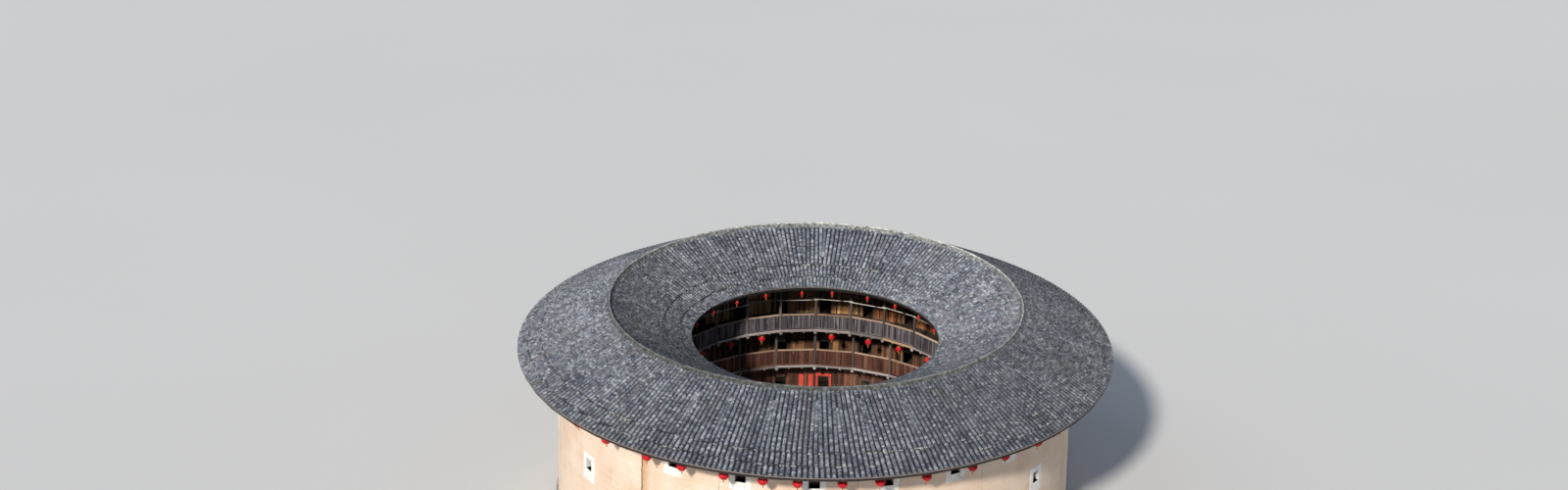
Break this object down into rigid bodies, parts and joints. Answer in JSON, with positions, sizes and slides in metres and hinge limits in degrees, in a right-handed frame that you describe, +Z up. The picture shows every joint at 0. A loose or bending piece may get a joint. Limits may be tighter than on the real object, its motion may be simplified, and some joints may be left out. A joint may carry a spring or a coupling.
{
  "type": "tulou roundhouse",
  "caption": "Round earth-walled courtyard house with three storeys, timber galleries around an open court and a ring-shaped tiled roof.",
  "frame": {"origin": "on the ground at the centre of the ring", "axes": "+Z up along the axis of the ring; the gateway faces -Y"},
  "size_m": [34.66, 34.66, 12.6],
  "materials": {
    "rammed_earth": "matte rammed earth in thin lifts, peach to cream, with cracks, pits and stains",
    "stone": "dressed and rubble stone, dry and matte",
    "white_plaster": "lime plaster, chalky",
    "roof_tile": "weathered grey fired-clay tile with pale speckled edges",
    "ridge_mortar": "lichened lime mortar and tile",
    "dark_timber": "smoke-dark fir, unpainted",
    "red_brown_board": "aged red-brown boards",
    "grey_board": "sun-greyed boards with pale grain",
    "pale_pole": "bare peeled poles and cut log ends",
    "red_lantern": "red stretched cloth",
    "red_paint": "faded red paint and paper strips"
  },
  "bodies": {
    "root": {"plinth": "stone", "earth_wall_01": "rammed_earth", "earth_wall_02": "rammed_earth", "earth_wall_03": "rammed_earth", "earth_wall_04": "rammed_earth", "earth_wall_05": "rammed_earth", "earth_wall_06": "rammed_earth", "earth_wall_07": "rammed_earth", "earth_wall_08": "rammed_earth", "earth_wall_09": "rammed_earth", "earth_wall_10": "rammed_earth", "earth_wall_11": "rammed_earth", "earth_wall_12": "rammed_earth", "wall_over_gate": "rammed_earth", "gate_jamb_left": "stone", "gate_jamb_right": "stone", "gate_lintel": "stone", "gate_threshold": "stone", "ground_partition": "red_brown_board", "second_floor": "dark_timber", "second_partition": "red_brown_board", "second_gallery": "red_brown_board", "third_floor": "dark_timber", "third_partition": "red_brown_board", "third_gallery": "grey_board", "drying_pole_ring": "pale_pole", "outer_roof": "roof_tile", "inner_roof": "roof_tile", "ridge": "ridge_mortar", "outer_eave_board": "dark_timber", "inner_eave_board": "dark_timber"}
  },
  "joints": []
}
